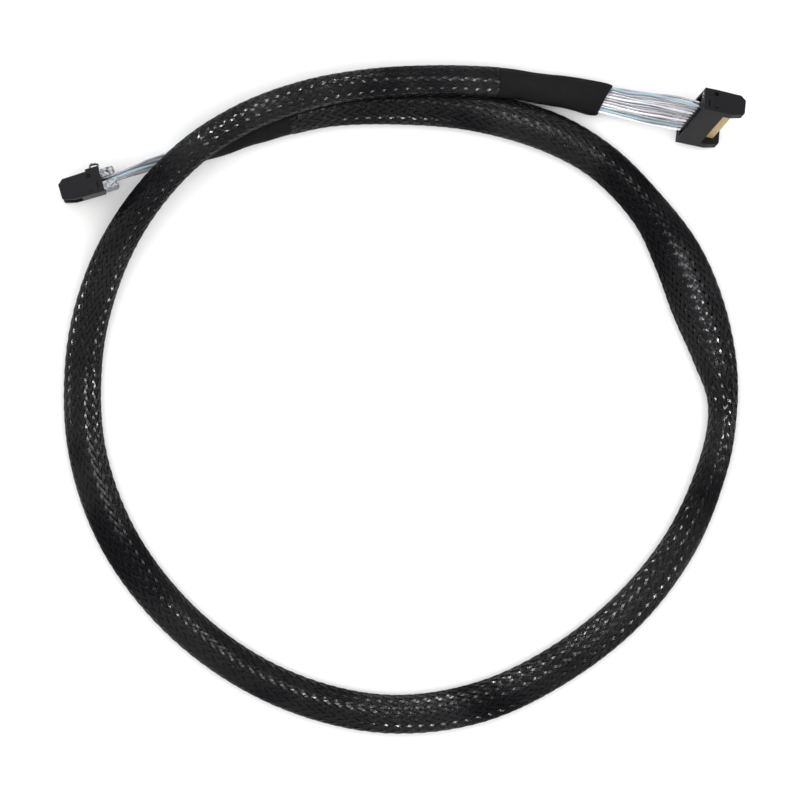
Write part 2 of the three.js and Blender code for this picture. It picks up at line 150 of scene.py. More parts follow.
def length_property(name, description, default):
    """A length in metres that the sidebar shows."""
    return FloatProperty(name=name, description=description, default=default, min=0, unit="LENGTH")


def colour_property(name, description, value):
    """A colour that the sidebar shows."""
    return FloatVectorProperty(
        name=name, description=description, subtype="COLOR", size=3, min=0, max=1, default=value
    )


class CableSizes(bpy.types.PropertyGroup):
    """Sizes of the sleeve, wires and heat-shrinks."""

    carriers: IntProperty(
        name="Carriers", description="Strands of the braid that run each way", default=24, min=8
    )
    braid_turns: FloatProperty(
        name="Braid turns", description="Turns of a strand over the sleeve's length", default=8.0
    )
    strand_steps: IntProperty(
        name="Strand steps", description="Points along one strand", default=790, min=100
    )
    strand_width: length_property("Strand width", "Width of a strand of three filaments", 1.42 * MM)
    strand_thickness: length_property("Strand thickness", "Thickness of one filament", 0.3 * MM)
    weave_height: length_property(
        "Weave height", "How far a strand rises over the ones that it crosses", 0.2 * MM
    )
    usual_girth: length_property(
        "Usual girth", "Half width plus half height of the sleeve where a strand has its own width",
        10.8 * MM,
    )
    wire_diameter: length_property("Wire diameter", "Width of a wire across its film", 1.0 * MM)
    shrink_skew: length_property(
        "Heat-shrink skew", "How far the right tube's end runs ahead on one side", 1.75 * MM
    )
    shrink_wall: length_property("Heat-shrink wall", "Thickness of the shrunk tube", 0.6 * MM)
    plug_bevel: length_property("Plug bevel", "Rounding of the moulded edges of the housings", 0.16 * MM)
    sheet_bevel: length_property("Sheet bevel", "Rounding of the edges of the pressed metal", 0.05 * MM)


class CableColours(bpy.types.PropertyGroup):
    """Colours of the cable's finishes."""

    braid: colour_property("Braid", "Black polyester filament", (0.0042, 0.0042, 0.0050))
    shrink: colour_property("Heat-shrink", "Matt black tube", (0.006, 0.006, 0.0063))
    housing: colour_property("Housing", "Moulded black plastic", (0.0088, 0.0086, 0.0103))
    comb: colour_property("Comb", "Moulded dark block behind the card", (0.022, 0.0225, 0.025))
    gold: colour_property("Gold", "Plated contact pads", (0.54, 0.41, 0.20))
    laminate: colour_property("Laminate", "Bare face of the card", (0.42, 0.32, 0.15))
    steel: colour_property("Steel", "Pressed spring steel", (0.35, 0.36, 0.38))
    foil: colour_property("Foil", "Silver foil under clear film", (0.56, 0.57, 0.60))
    sideband: colour_property("Sideband", "Light blue jacket", (0.30, 0.43, 0.50))
    floor: colour_property("Floor", "Plain white floor", (0.95, 0.95, 0.95))


class StageSettings(bpy.types.PropertyGroup):
    """Camera and lamps."""

    camera_height: length_property("Camera height", "Camera above the floor", 1.9)
    camera_side: length_property(
        "Camera side", "How far left of the picture's middle the camera stands", 0.076
    )
    view_width: length_property("View width", "What the picture spans at the cable's height", 0.2984)
    key_power: FloatProperty(
        name="Key power", description="Power of the soft lamp overhead", default=30.0, unit="POWER"
    )
    glint_power: FloatProperty(
        name="Glint power", description="Power of a lamp that shows in gloss only",
        default=4.6, unit="POWER",
    )
    sky_strength: FloatProperty(
        name="Sky strength", description="Even light from all round", default=0.95
    )


# Route

ROUTE_SAMPLES = 4000


def loop_point(row):
    """The point of a station in the loop."""
    angle = math.radians(row[0])
    return np.array([row[1] * math.cos(angle), row[1] * math.sin(angle), row[2]])


def plug_axes(heading, dip, lean):
    """The axes of a plug: towards its mate, across its thickness and along its width."""
    h, d, r = (math.radians(a) for a in (heading, dip, lean))
    turn_z = np.array([[math.cos(h), -math.sin(h), 0], [math.sin(h), math.cos(h), 0], [0, 0, 1]])
    turn_y = np.array([[math.cos(d), 0, math.sin(d)], [0, 1, 0], [-math.sin(d), 0, math.cos(d)]])
    turn_x = np.array([[1, 0, 0], [0, math.cos(r), -math.sin(r)], [0, math.sin(r), math.cos(r)]])
    return turn_z @ turn_y @ turn_x


LEFT_AXES = plug_axes(LEFT_HEADING, 0, 180)
RIGHT_AXES = plug_axes(RIGHT_HEADING, RIGHT_DIP, RIGHT_LEAN)


def fan_stations(entry, axes, rows, shrink_end):
    """Stations between a plug's wire entry and the end of its heat-shrink."""
    start = np.array(entry) + axes[:, 0] * WIRE_END
    found = []
    for share, drop_share, pitch_share, flat in rows:
        point = start + (shrink_end - start) * share
        point[2] = start[2] + (shrink_end[2] - start[2]) * drop_share
        found.append({"at": point, "size": (0, 0), "pitch": PLUG_WIRE_PITCH * pitch_share, "flat": flat})
    return found


def shell_stations(rows, flats):
    """Stations inside the heat-shrinks and the sleeve."""
    return [
        {"at": loop_point(row), "size": row[3:5], "pitch": RIBBON_PITCH, "flat": flat}
        for row, flat in zip(rows, flats)
    ]


def all_stations():
    """The route's stations from the left plug to the right one, with the roll of the wires."""
    found = fan_stations(LEFT_ENTRY, LEFT_AXES, LEFT_FAN, loop_point(LEFT_SHRINK[0]))
    found += shell_stations(LEFT_SHRINK, [0] * len(LEFT_SHRINK))
    found += shell_stations(LOOP, [0] * len(LOOP))
    found += shell_stations(RIGHT_SHRINK, FLATTENING)
    found += fan_stations(RIGHT_ENTRY, RIGHT_AXES, RIGHT_FAN, loop_point(RIGHT_SHRINK[-1]))
    first_loop = len(LEFT_FAN)
    last_shrink = len(found) - 1 - len(RIGHT_FAN)
    for index, station in enumerate(found):
        station["roll"] = 90.0
        if index > first_loop:
            station["roll"] = 90.0 * (1 - (index - first_loop) / (last_shrink - first_loop))
        if index > last_shrink:
            station["roll"] = (90.0 + RIGHT_LEAN) * (index - last_shrink) / len(RIGHT_FAN)
    return found


STATIONS = all_stations()
FIRST_SHRINK = len(LEFT_FAN)
SLEEVE_START = FIRST_SHRINK + len(LEFT_SHRINK) - 2
LAST_SHRINK = len(STATIONS) - 1 - len(RIGHT_FAN)
SLEEVE_END = LAST_SHRINK - len(RIGHT_SHRINK) + 2


def smooth(values, places):
    """Catmull-Rom values between stations, at places counted in stations."""
    values = np.asarray(values, float)
    last = len(values) - 1
    index = np.clip(np.floor(places).astype(int), 0, last - 1)
    share = np.asarray(places) - index
    before, here = values[np.maximum(index - 1, 0)], values[index]
    there, after = values[index + 1], values[np.minimum(index + 2, last)]
    if values.ndim > 1:
        share = share[:, None]
    return 0.5 * (
        2 * here + (there - before) * share
        + (2 * before - 5 * here + 4 * there - after) * share**2
        + (3 * here - before - 3 * there + after) * share**3
    )


def linear(values, places):
    """Straight values between stations."""
    return np.interp(places, np.arange(len(values)), np.asarray(values, float))


def station_frames():
    """Points of the stations, with the leftward and upward directions; plugs set those at both ends."""
    points = np.array([station["at"] for station in STATIONS])
    points[:, :2] -= BOX_MIDDLE
    places = np.arange(len(points), dtype=float)
    step = 0.02
    ahead = smooth(points, np.minimum(places + step, places[-1]))
    along = ahead - smooth(points, np.maximum(places - step, 0))
    along[:2] = -LEFT_AXES[:, 0]
    along[-1] = RIGHT_AXES[:, 0]
    along /= np.linalg.norm(along, axis=1)[:, None]
    left = np.cross([0, 0, 1], along)
    left /= np.linalg.norm(left, axis=1)[:, None]
    return points, left, np.cross(along, left)


STATION_POINTS, STATION_LEFT, STATION_UP = station_frames()


def route_at(places):
    """Centre line, leftward and upward directions at places counted in stations, in metres."""
    left, up = smooth(STATION_LEFT, places), smooth(STATION_UP, places)
    left /= np.linalg.norm(left, axis=1)[:, None]
    up /= np.linalg.norm(up, axis=1)[:, None]
    return smooth(STATION_POINTS, places) * MM, left, up


def sizes_at(places):
    """Width and height of the sleeve or heat-shrink, in metres."""
    return smooth([station["size"] for station in STATIONS], places) * MM


def places_between(first, last, step):
    """Places from one station to another, about step metres apart, and the way between them."""
    fine = np.linspace(first, last, ROUTE_SAMPLES)
    at, _, _ = route_at(fine)
    run = np.concatenate([[0], np.cumsum(np.linalg.norm(np.diff(at, axis=0), axis=1))])
    count = max(2, int(round(run[-1] / step)) + 1)
    return np.interp(np.linspace(0, run[-1], count), run, fine), run[-1]


# Meshes

def mesh_object(name, vertices, faces):
    """A smooth-shaded object at the origin."""
    mesh = bpy.data.meshes.new(name)
    mesh.from_pydata([tuple(v) for v in vertices], [], faces)
    mesh.update()
    mesh.shade_smooth()
    obj = bpy.data.objects.new(name, mesh)
    bpy.context.scene.collection.objects.link(obj)
    return obj


def tube(name, rings):
    """A closed skin over rings of equal length, capped at both ends."""
    count = len(rings[0])
    vertices = [point for ring in rings for point in ring]
    faces = []
    for ring in range(len(rings) - 1):
        low, high = ring * count, (ring + 1) * count
        for side in range(count):
            after = (side + 1) % count
            faces.append((low + side, low + after, high + after, high + side))
    faces.append(tuple(reversed(range(count))))
    faces.append(tuple(range(len(vertices) - count, len(vertices))))
    return mesh_object(name, vertices, faces)


def finish_piece(piece, material, nodes=()):
    """Gives a piece its finish and body, and hides the solids that it stands for."""
    piece.data.materials.clear()
    piece.data.materials.append(material)
    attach(piece, BODY)
    if nodes:
        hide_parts(*nodes)
    return piece


# Materials

def new_material(name, colour, roughness, metallic=0.0):
    """A node material, its nodes and its shader."""
    material = bpy.data.materials.new(name)
    material.use_nodes = True
    nodes = material.node_tree.nodes
    shader = nodes["Principled BSDF"]
    shader.inputs["Base Color"].default_value = (*colour, 1)
    shader.inputs["Roughness"].default_value = roughness
    shader.inputs["Metallic"].default_value = metallic
    return material, material.node_tree, shader


def noise(tree, scale, detail=3.0):
    """A noise texture on object coordinates."""
    texture = tree.nodes.new("ShaderNodeTexNoise")
    texture.inputs["Scale"].default_value = scale
    texture.inputs["Detail"].default_value = detail
    coordinates = tree.nodes.new("ShaderNodeTexCoord")
    tree.links.new(coordinates.outputs["Object"], texture.inputs["Vector"])
    return texture.outputs["Fac"]


def bump(tree, shader, height, strength, distance):
    """Bump from a height into the shader's normal."""
    node = tree.nodes.new("ShaderNodeBump")
    node.inputs["Strength"].default_value = strength
    node.inputs["Distance"].default_value = distance
    tree.links.new(height, node.inputs["Height"])
    tree.links.new(node.outputs["Normal"], shader.inputs["Normal"])


def remap(tree, value, low, high, out_low, out_high):
    """A value taken from one range to another."""
    node = tree.nodes.new("ShaderNodeMapRange")
    for name, number in zip(("From Min", "From Max", "To Min", "To Max"), (low, high, out_low, out_high)):
        node.inputs[name].default_value = number
    tree.links.new(value, node.inputs["Value"])
    return node.outputs["Result"]


def mixed(tree, factor, dark, light):
    """A colour between two shades."""
    mix = tree.nodes.new("ShaderNodeMix")
    mix.data_type = "RGBA"
    mix.inputs["A"].default_value = (*dark, 1)
    mix.inputs["B"].default_value = (*light, 1)
    tree.links.new(factor, mix.inputs["Factor"])
    return mix


def shade(tree, shader, factor, dark, light):
    """Base colour between two shades."""
    mix = mixed(tree, factor, dark, light)
    tree.links.new(mix.outputs["Result"], shader.inputs["Base Color"])


def scaled(colour, share):
    """A colour made lighter or darker."""
    return tuple(min(1.0, part * share) for part in colour)


def braid_finish(colour):
    """Glossy black filament, duller where the sleeve has been rubbed and folded."""
    material, tree, shader = new_material("Braid filament", colour, 0.2)
    shade(tree, shader, noise(tree, 160), scaled(colour, 0.6), scaled(colour, 1.5))
    rubbed = remap(tree, noise(tree, 38, 2), 0.4, 0.65, 0.13, 0.24)
    tree.links.new(rubbed, shader.inputs["Roughness"])
    gloss = remap(tree, noise(tree, 30, 2), 0.38, 0.6, 0.05, 0.24)
    tree.links.new(gloss, shader.inputs["Specular IOR Level"])
    bump(tree, shader, noise(tree, 2600, 2), 0.12, 0.03 * MM)
    return material


def shrink_finish(colour):
    """Matt tube with a soft grain."""
    material, tree, shader = new_material("Heat-shrink", colour, 0.7)
    shader.inputs["Specular IOR Level"].default_value = 0.06
    shade(tree, shader, noise(tree, 90), scaled(colour, 0.8), scaled(colour, 1.4))
    tree.links.new(remap(tree, noise(tree, 300), 0.3, 0.7, 0.6, 0.75), shader.inputs["Roughness"])
    bump(tree, shader, noise(tree, 1400, 5), 0.25, 0.05 * MM)
    return material


def housing_finish(name, colour):
    """Moulded plastic with a fine spark-eroded grain."""
    material, tree, shader = new_material(name, colour, 0.48)
    shader.inputs["Specular IOR Level"].default_value = 0.08
    shade(tree, shader, noise(tree, 260), scaled(colour, 0.9), scaled(colour, 1.15))
    tree.links.new(remap(tree, noise(tree, 700), 0.3, 0.7, 0.46, 0.53), shader.inputs["Roughness"])
    bump(tree, shader, noise(tree, 5200, 4), 0.2, 0.03 * MM)
    return material


def card_finish(name, colour, metallic):
    """Sand-coloured laminate or plated pad, both grainy."""
    material, tree, shader = new_material(name, colour, 0.38, metallic)
    shade(tree, shader, noise(tree, 2600, 4), scaled(colour, 0.8), scaled(colour, 1.15))
    tree.links.new(remap(tree, noise(tree, 1800), 0.3, 0.7, 0.32, 0.5), shader.inputs["Roughness"])
    bump(tree, shader, noise(tree, 6000), 0.2, 0.02 * MM)
    return material


def steel_finish(colour):
    """Pressed sheet with dull patches and small scuffs."""
    material, tree, shader = new_material("Pressed steel", colour, 0.45, 0.3)
    shader.inputs["Specular IOR Level"].default_value = 0.2
    patches = remap(tree, noise(tree, 1300, 4), 0.4, 0.6, 0.0, 1.0)
    shade(tree, shader, patches, scaled(colour, 0.25), colour)
    tree.links.new(remap(tree, noise(tree, 1500), 0.3, 0.7, 0.34, 0.5), shader.inputs["Roughness"])
    bump(tree, shader, noise(tree, 2500), 0.15, 0.02 * MM)
    return material


# Painted shade on the ends of the wires, where they run into the comb
PAINTED_COMB_SHADE = (0.05, 0.055, 0.06)


def wire_finish(name, colour, metallic, variation):
    """Foil or jacket under glossy film, with painted shade on the last millimetre or so before the comb."""
    material, tree, shader = new_material(name, colour, 0.25, metallic)
    shader.inputs["Coat Weight"].default_value = 0.3
    shader.inputs["Coat Roughness"].default_value = 0.2
    tones = remap(tree, noise(tree, 70, 2), 0.38, 0.62, 0.0, 1.0)
    film = mixed(tree, tones, scaled(colour, 1 - variation), scaled(colour, 1 + variation))
    distance = tree.nodes.new("ShaderNodeAttribute")
    distance.attribute_name = "from_end"
    # Painted shade: fully dark within 1.2 mm of a wire's end, fading out by 1.5 mm
    comb_shade = remap(tree, distance.outputs["Fac"], 1.2 * MM, 1.5 * MM, 1.0, 0.0)
    skin = mixed(tree, comb_shade, colour, PAINTED_COMB_SHADE)
    tree.links.new(film.outputs["Result"], skin.inputs["A"])
    tree.links.new(skin.outputs["Result"], shader.inputs["Base Color"])
    tree.links.new(remap(tree, noise(tree, 300), 0.3, 0.7, 0.3, 0.45), shader.inputs["Roughness"])
    bump(tree, shader, noise(tree, 260, 1), 0.2, 0.1 * MM)
    return material


# Geometry node trees

class TreeMaker:
    """A Geometry Nodes tree that is wired up one node at a time."""

    def __init__(self, name, inputs):
        self.group = bpy.data.node_groups.new(name, "GeometryNodeTree")
        interface = self.group.interface
        interface.new_socket("Geometry", in_out="INPUT", socket_type="NodeSocketGeometry")
        self.identifiers = {}
        for label, kind, value in inputs:
            socket = interface.new_socket(label, in_out="INPUT", socket_type=kind)
            if value is not None:
                socket.default_value = value
            self.identifiers[label] = socket.identifier
        interface.new_socket("Geometry", in_out="OUTPUT", socket_type="NodeSocketGeometry")
        self.source = self.group.nodes.new("NodeGroupInput")
        self.sink = self.group.nodes.new("NodeGroupOutput")

    def given(self, label):
        """The group input's socket of that name."""
        return self.source.outputs[label]

    def node(self, kind, links=None, values=None, **settings):
        """A node with its settings, linked inputs and plain input values."""
        made = self.group.nodes.new(kind)
        for key, value in settings.items():
            setattr(made, key, value)
        for key, socket in (links or {}).items():
            self.group.links.new(socket, made.inputs[key])
        for key, value in (values or {}).items():
            made.inputs[key].default_value = value
        return made

    def math(self, operation, first, second=None):
        """A Math node; each term is a socket or a number."""
        made = self.node("ShaderNodeMath", operation=operation)
        for index, term in enumerate((first, second)):
            if term is None:
                continue
            if isinstance(term, (int, float)):
                made.inputs[index].default_value = term
            else:
                self.group.links.new(term, made.inputs[index])
        return made.outputs[0]

    def vector(self, operation, first, second=None, scale=None):
        """A Vector Math node with sockets as its terms."""
        made = self.node("ShaderNodeVectorMath", operation=operation)
        for index, term in enumerate((first, second)):
            if term is not None:
                self.group.links.new(term, made.inputs[index])
        if scale is not None:
            self.group.links.new(scale, made.inputs["Scale"])
        return made.outputs[0]

    def finish(self, geometry):
        """Realizes the result and gives it its material."""
        real = self.node("GeometryNodeRealizeInstances", {"Geometry": geometry})
        done = self.node(
            "GeometryNodeSetMaterial", {"Geometry": real.outputs[0], "Material": self.given("Material")}
        )
        self.group.links.new(done.outputs[0], self.sink.inputs[0])


def braid_tree():
    """One family of strands that wind round the oval section of the route and weave as they go."""
    maker = TreeMaker("Braid strands", (
        ("Carriers", "NodeSocketInt", 24),
        ("First", "NodeSocketInt", 0),
        ("Every", "NodeSocketInt", 2),
        ("Turns", "NodeSocketFloat", 8.0),
        ("Hand", "NodeSocketFloat", 1.0),
        ("Steps", "NodeSocketInt", 800),
        ("Strand width", "NodeSocketFloat", 0.0014),
        ("Strand thickness", "NodeSocketFloat", 0.0003),
        ("Weave height", "NodeSocketFloat", 0.0002),
        ("Usual girth", "NodeSocketFloat", 0.0108),
        ("Section", "NodeSocketObject", None),
        ("Material", "NodeSocketMaterial", None),
    ))
    route = maker.node("GeometryNodeMeshToCurve", {"Mesh": maker.given("Geometry")}).outputs[0]
    line = maker.node("GeometryNodeCurvePrimitiveLine", values={"End": (1, 0, 0)})
    points = maker.node(
        "GeometryNodeResampleCurve", {"Curve": line.outputs[0], "Count": maker.given("Steps")}
    )
    amount = maker.math("DIVIDE", maker.given("Carriers"), maker.given("Every"))
    copies = maker.node(
        "GeometryNodeDuplicateElements", {"Geometry": points.outputs[0], "Amount": amount}, domain="SPLINE"
    )
    stride = maker.math("MULTIPLY", copies.outputs["Duplicate Index"], maker.given("Every"))
    own = maker.math("ADD", stride, maker.given("First"))
    share = maker.node("GeometryNodeSplineParameter").outputs["Factor"]
    passed = maker.math("MULTIPLY", maker.given("Turns"), maker.given("Carriers"))
    wound = maker.math("MULTIPLY", maker.math("MULTIPLY", passed, share), maker.given("Hand"))
    place = maker.math("ADD", own, wound)
    angle = maker.math("MULTIPLY", maker.math("DIVIDE", place, maker.given("Carriers")), math.tau)
    phase = maker.math("SUBTRACT", maker.math("MULTIPLY", place, math.pi), math.pi / 4)
    rise = maker.math("MULTIPLY", maker.math("COSINE", phase), maker.given("Weave height"))
    height = maker.math("MULTIPLY", rise, maker.given("Hand"))

    def sampled(attribute, kind):
        """The route's own value at the same share of its length."""
        named = maker.node("GeometryNodeInputNamedAttribute", values={"Name": attribute}, data_type=kind)
        return maker.node(
            "GeometryNodeSampleCurve",
            {"Curves": route, "Value": named.outputs["Attribute"], "Factor": share},
            mode="FACTOR", data_type=kind, use_all_curves=False,
        )

    wide = sampled("half_width", "FLOAT")
    tall = sampled("half_height", "FLOAT")
    left = sampled("leftward", "FLOAT_VECTOR").outputs[0]
    up = sampled("upward", "FLOAT_VECTOR").outputs[0]
    cosine, sine = maker.math("COSINE", angle), maker.math("SINE", angle)
    reach_x = maker.math("MULTIPLY", maker.math("ADD", wide.outputs[0], height), cosine)
    reach_y = maker.math("MULTIPLY", maker.math("ADD", tall.outputs[0], height), sine)
    offset = maker.vector(
        "ADD", maker.vector("SCALE", left, scale=reach_x), maker.vector("SCALE", up, scale=reach_y)
    )
    outward = maker.vector(
        "ADD",
        maker.vector("SCALE", left, scale=maker.math("MULTIPLY", cosine, tall.outputs[0])),
        maker.vector("SCALE", up, scale=maker.math("MULTIPLY", sine, wide.outputs[0])),
    )
    moved = maker.node("GeometryNodeSetPosition", {
        "Geometry": copies.outputs["Geometry"],
        "Position": maker.vector("ADD", wide.outputs["Position"], offset),
    })
    girth = maker.math("ADD", wide.outputs[0], tall.outputs[0])
    swell = maker.math("MAXIMUM", maker.math("DIVIDE", girth, maker.given("Usual girth")), 0.9)
    scaled_line = maker.node("GeometryNodeSetCurveRadius", {"Curve": moved.outputs[0], "Radius": swell})
    turned = maker.node(
        "GeometryNodeSetCurveNormal",
        {"Curve": scaled_line.outputs[0], "Normal": maker.vector("NORMALIZE", outward)}, mode="FREE",
    )
    section = maker.node("GeometryNodeObjectInfo", {"Object": maker.given("Section")})
    flat = maker.node("ShaderNodeCombineXYZ", {
        "X": maker.given("Strand thickness"), "Y": maker.given("Strand width"),
    }, {"Z": 1.0})
    sized = maker.node("GeometryNodeTransform", {
        "Geometry": maker.node(
            "GeometryNodeMeshToCurve", {"Mesh": section.outputs["Geometry"]}
        ).outputs[0],
        "Scale": flat.outputs[0],
    })
    skin = maker.node(
        "GeometryNodeCurveToMesh",
        {"Curve": turned.outputs[0], "Profile Curve": sized.outputs[0]}, {"Fill Caps": True},
    )
    maker.finish(skin.outputs[0])
    return maker


def run_tree(obj, maker, values):
    """The plain mesh that a tree makes of an object, which is removed."""
    modifier = obj.modifiers.new("shape", "NODES")
    modifier.node_group = maker.group
    for label, value in values.items():
        modifier[maker.identifiers[label]] = value
    evaluated = obj.evaluated_get(bpy.context.evaluated_depsgraph_get())
    mesh = bpy.data.meshes.new_from_object(evaluated)
    name = obj.name
    bpy.data.objects.remove(obj)
    mesh.name = name
    mesh.shade_smooth()
    made = bpy.data.objects.new(name, mesh)
    bpy.context.scene.collection.objects.link(made)
    return made


# Sleeve

GUIDE_STEP = 2.5 * MM

# Outline of a strand of three filaments: shares of its thickness outward and of its width across
STRAND_OUTLINE = (
    (0.0, -0.5), (0.5, -0.33), (0.1, -0.17), (0.5, 0.0), (0.1, 0.17), (0.5, 0.33), (0.0, 0.5), (-0.3, 0.0),
)


def strand_section():
    """The closed outline of a strand, which the tree sweeps."""
    count = len(STRAND_OUTLINE)
    mesh = bpy.data.meshes.new("strand_section")
    mesh.from_pydata(
        [(out, across, 0) for out, across in STRAND_OUTLINE], [(i, (i + 1) % count) for i in range(count)], []
    )
    return bpy.data.objects.new("strand_section", mesh)


def sleeve_guide(name, shrink_wall):
    """The sleeve's centre line as edges that carry its section."""
    places, length = places_between(SLEEVE_START, SLEEVE_END, GUIDE_STEP)
    at, left, up = route_at(places)
    sizes = sizes_at(places)
    hidden = (places < SLEEVE_START + 1) | (places > SLEEVE_END - 1)
    trim = 2 * (shrink_wall + SHRINK_GAP * MM)
    sizes = sizes - np.where(hidden, trim, STRAND_ALLOWANCE * MM)[:, None]
    sizes[:, 1] -= FLOOR_ALLOWANCE * MM
    mesh = bpy.data.meshes.new(name)
    mesh.from_pydata([tuple(p) for p in at], [(i, i + 1) for i in range(len(at) - 1)], [])
    for label, values in (("half_width", sizes[:, 0] / 2), ("half_height", sizes[:, 1] / 2)):
        mesh.attributes.new(label, "FLOAT", "POINT").data.foreach_set("value", values.astype(np.float32))
    for label, values in (("leftward", left), ("upward", up)):
        mesh.attributes.new(label, "FLOAT_VECTOR", "POINT").data.foreach_set(
            "vector", values.astype(np.float32).ravel()
        )
    obj = bpy.data.objects.new(name, mesh)
    bpy.context.scene.collection.objects.link(obj)
    return obj, at, length


class CABLE_OT_sleeve(bpy.types.Operator):
    """Braids the sleeve from strands of both hands, in four pieces"""

    bl_idname = "cable.sleeve"
    bl_label = "Braid the sleeve"

    def execute(self, context):
        sizes, colours = context.scene.cable_sizes, context.scene.cable_colours
        material = braid_finish(colours.braid)
        maker = braid_tree()
        section = strand_section()
        rows = (
            ("braid_right_even", 1.0, 0), ("braid_right_odd", 1.0, 1),
            ("braid_left_even", -1.0, 0), ("braid_left_odd", -1.0, 1),
        )
        for name, hand, first in rows:
            guide, at, length = sleeve_guide(name, sizes.shrink_wall)
            piece = run_tree(guide, maker, {
                "Carriers": sizes.carriers,
                "First": first,
                "Every": 2,
                "Turns": sizes.braid_turns,
                "Hand": hand,
                "Steps": sizes.strand_steps,
                "Strand width": sizes.strand_width,
                "Strand thickness": sizes.strand_thickness,
                "Weave height": sizes.weave_height,
                "Usual girth": sizes.usual_girth,
                "Section": section,
                "Material": material,
            })
            finish_piece(piece, material, ["braided_sleeve"])
        bpy.data.objects.remove(section)
        return {"FINISHED"}


# Heat-shrink

def shrink_tube(name, first, last, wall, seed, skew):
    """A closed tube wall that follows the route, with soft dents, rolled ends and a skewed last end."""
    places, _ = places_between(first, last, 0.7 * MM)
    at, left, up = route_at(places)
    sizes = sizes_at(places)
    rng = np.random.default_rng(seed)
    waves = rng.uniform(0, math.tau, 6)
    count = 56
    dent = 0.09 * MM
    squareness = 2.3
    angles = np.arange(count) / count * math.tau
    round_ring = (np.cos(angles), np.sin(angles))
    across, upward = (np.sign(part) * np.abs(part) ** (2 / squareness) for part in round_ring)
    run = np.linspace(0, 1, len(places))
    slant = skew * np.clip(run * 4 - 3, 0, 1)

    def ring(index, inset, shift=0.0):
        """One ring of the wall, a little dented."""
        relief = 0.0
        for k in range(3):
            swing = math.sin(run[index] * (9 + 5 * k) + waves[k])
            relief = relief + dent * swing * np.sin((k + 2) * angles + waves[k + 3])
        half = sizes[index] / 2 - inset
        x = across * (half[0] + relief)
        y = upward * (half[1] + relief)
        along = np.cross(left[index], up[index])
        ahead = shift + slant[index] * x / half[0]
        return at[index] + np.outer(x, left[index]) + np.outer(y, up[index]) + np.outer(ahead, along)

    lip = 0.2 * MM
    rings = [ring(0, wall, 0), ring(0, wall - lip, -lip * 0.4), ring(0, lip, 0)]
    rings += [ring(i, 0) for i in range(1, len(places) - 1)]
    end = len(places) - 1
    rings += [ring(end, lip, 0), ring(end, wall - lip, lip * 0.4), ring(end, wall, 0)]
    rings += [ring(i, wall) for i in range(end - 1, 0, -1)]
    vertices = [point for r in rings for point in r]
    faces = []
    for r in range(len(rings)):
        low, high = r * count, ((r + 1) % len(rings)) * count
        for side in range(count):
            after = (side + 1) % count
            faces.append((low + side, low + after, high + after, high + side))
    return mesh_object(name, vertices, faces)


class CABLE_OT_shrinks(bpy.types.Operator):
    """Shrinks a tube over each end of the sleeve"""

    bl_idname = "cable.shrinks"
    bl_label = "Shrink the end tubes"

    def execute(self, context):
        sizes, colours = context.scene.cable_sizes, context.scene.cable_colours
        material = shrink_finish(colours.shrink)
        left_end = FIRST_SHRINK + len(LEFT_SHRINK) - 1
        right_start = LAST_SHRINK - len(RIGHT_SHRINK) + 1
        runs = (
            ("left", FIRST_SHRINK, left_end, 4, 0.0),
            ("right", right_start, LAST_SHRINK, 9, sizes.shrink_skew),
        )
        for side, first, last, seed, skew in runs:
            piece = shrink_tube(f"{side}_heat_shrink_tube", first, last, sizes.shrink_wall, seed, skew)
            finish_piece(piece, material, [f"{side}_heat_shrink"])
        return {"FINISHED"}


# Wires

FAN_STEP = 0.9 * MM
SLEEVE_STEP = 5 * MM
SWAYS = (0.35 * MM, 0.25 * MM)
PAIR_WAIST = 0.14


def wire_offsets(k, layer, places):
    """Offsets of a wire from the route: two rows of ten at a comb, five by four in the sleeve."""
    pitch = linear([station["pitch"] for station in STATIONS], places)
    flat = linear([station["flat"] for station in STATIONS], places)
    roll = np.radians(linear([station["roll"] for station in STATIONS], places))
    across = (k - (WIRES_PER_LAYER - 1) / 2) * pitch
    spread, settle = flat**0.6, flat**1.6
    along_k = (k // 2 - 2) * BUNDLE_PITCH * (1 - spread) + across * spread
    column = layer * 2 + k % 2
    along_layer = (column - 1.5) * BUNDLE_PITCH * (1 - settle) + (layer - 0.5) * LAYER_SPACING * settle
    left = along_k * np.cos(roll) + along_layer * np.sin(roll)
    up = along_k * np.sin(roll) - along_layer * np.cos(roll)
    return left * MM, up * MM, roll


def wire_wander(places, seed):
    """Sideways sway of a wire in the fans, none where it is held in a comb or heat-shrink."""
    rng = np.random.default_rng(seed)
    left_share = np.clip(places / FIRST_SHRINK, 0, 1)
    right_share = np.clip((places - LAST_SHRINK) / len(RIGHT_FAN), 0, 1)
    envelope = (np.sin(math.pi * left_share) + np.sin(math.pi * right_share)) ** 2
    sways = []
    for reach in SWAYS:
        phase, rate = rng.uniform(0, math.tau), rng.uniform(1.2, 2.4)
        sways.append(reach * envelope * np.sin(places * rate + phase))
    return sways


